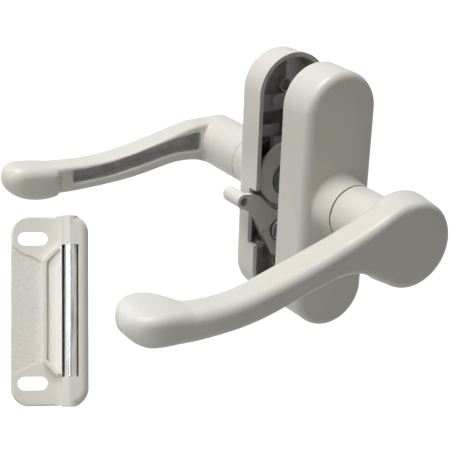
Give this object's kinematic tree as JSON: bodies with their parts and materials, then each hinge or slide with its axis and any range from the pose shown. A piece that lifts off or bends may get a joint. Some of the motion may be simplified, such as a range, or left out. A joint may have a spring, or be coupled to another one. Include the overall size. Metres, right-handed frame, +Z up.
{
  "type": "lever latch",
  "caption": "Through-door lever latch: two hollow rounded plates with drop levers on a square spindle, an open sprung bolt mechanism, a turn knob lock and a rod strike.",
  "frame": {"origin": "on the spindle's axis, midway between the two plates", "axes": "+Z up, +Y along the spindle from the exterior side to the interior side, +X the way the latch bolt leaves; the levers reach to -X"},
  "size_m": [0.1576, 0.1546, 0.111],
  "materials": {
    "enamel": "smooth satin enamel, warm off-white",
    "hub_zinc": "dull olive-grey passivated zinc",
    "plated_steel": "zinc-plated steel, dull bright",
    "rod_steel": "polished bright plated steel",
    "spring_steel": "oiled spring steel",
    "bolt_zinc": "smooth cast zinc with a thin off-white coat",
    "washer_plastic": "thin dark nylon"
  },
  "bodies": {
    "frame": {"interior_housing": "enamel", "exterior_escutcheon": "enamel", "hub_retainer": "enamel", "retainer_screw_upper": "plated_steel", "retainer_screw_lower": "plated_steel", "bolt_spring": "spring_steel", "return_spring": "spring_steel", "lock_pivot_screw": "plated_steel", "upper_through_bolt": "plated_steel", "lower_through_bolt": "plated_steel", "strike_body": "enamel", "strike_rod": "rod_steel"},
    "levers": {"exterior_lever": "enamel", "interior_lever": "enamel", "spindle": "plated_steel", "latch_hub": "hub_zinc", "exterior_snap_ring": "spring_steel", "interior_snap_ring": "spring_steel", "exterior_grub_screw": "plated_steel", "interior_grub_screw": "plated_steel", "exterior_neck_washer": "washer_plastic", "interior_neck_washer": "washer_plastic", "spring_collar": "hub_zinc"},
    "bolt": {"latch_bolt": "bolt_zinc"},
    "lock": {"lock_lever": "enamel", "detent_leaf": "plated_steel"}
  },
  "joints": [
    {"name": "lever_turn", "type": "hinge", "parent": "frame", "child": "levers", "pos_m": [0, 0, 0], "axis": [0, -1, 0], "range_deg": [0, 45], "stiffness_Nm_per_rad": 0.6, "springref_deg": -20.05},
    {"name": "bolt_slide", "type": "slide", "parent": "frame", "child": "bolt", "axis": [-1, 0, 0], "range_m": [0, 0.0086], "deforming": ["bolt_spring"]},
    {"name": "lock_turn", "type": "hinge", "parent": "frame", "child": "lock", "pos_m": [-0.003, 0, -0.022], "axis": [0, -1, 0], "range_deg": [0, 25]}
  ],
  "couplings": [
    {"joint": "bolt_slide", "follows": "lever_turn", "m_per_rad": 0.0108}
  ]
}
